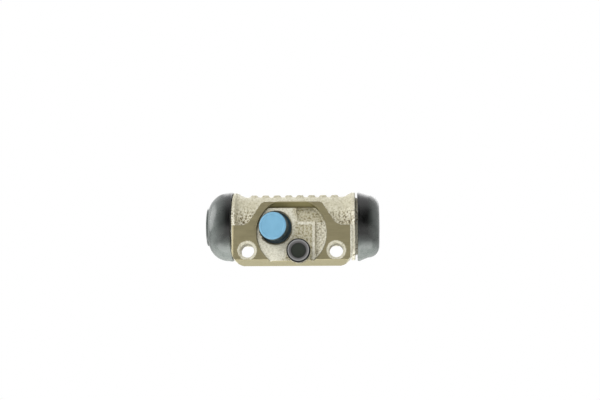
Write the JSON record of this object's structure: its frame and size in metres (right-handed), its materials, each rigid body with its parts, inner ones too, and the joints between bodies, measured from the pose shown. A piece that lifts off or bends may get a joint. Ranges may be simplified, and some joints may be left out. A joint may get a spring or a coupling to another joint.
{
  "type": "wheel cylinder",
  "caption": "Drum-brake wheel cylinder: a cast barrel with a machined mounting pad, opposed pistons under rubber boots, a capped bleeder and a plugged fluid inlet.",
  "frame": {"origin": "midway between the two bolt holes, on the mounting face", "axes": "-Y out of the mounting face, +X along the bore, +Z from the bolt holes towards the bore"},
  "size_m": [0.0874, 0.0437, 0.0392],
  "materials": {
    "casting": "zinc-plated casting with machined pad",
    "piston": "satin",
    "seal_rubber": "satin",
    "sheet_steel": "satin",
    "spring_steel": "satin",
    "boot_rubber": "satin",
    "bleeder_steel": "zinc-plated",
    "cap_rubber": "satin",
    "plug_plastic": "satin"
  },
  "bodies": {
    "cylinder": {"cylinder_body": "casting", "left_boot": "boot_rubber", "right_boot": "boot_rubber", "piston_spring": "spring_steel", "inlet_plug": "plug_plastic"},
    "left_piston_set": {"left_piston": "piston", "left_cup_seal": "seal_rubber", "left_cup_expander": "sheet_steel"},
    "right_piston_set": {"right_piston": "piston", "right_cup_seal": "seal_rubber", "right_cup_expander": "sheet_steel"},
    "bleeder": {"bleeder_screw": "bleeder_steel", "bleeder_cap": "cap_rubber"}
  },
  "joints": [
    {"name": "left_piston_slide", "type": "slide", "parent": "cylinder", "child": "left_piston_set", "axis": [-1, 0, 0], "range_m": [-0.002, 0.006], "deforming": ["left_boot", "piston_spring"]},
    {"name": "right_piston_slide", "type": "slide", "parent": "cylinder", "child": "right_piston_set", "axis": [1, 0, 0], "range_m": [-0.002, 0.006], "deforming": ["right_boot", "piston_spring"]},
    {"name": "bleeder_turn", "type": "hinge", "parent": "cylinder", "child": "bleeder", "pos_m": [0.0036, 0.002, -0.0008], "axis": [0, -1, 0], "range_deg": [0, 270]}
  ]
}
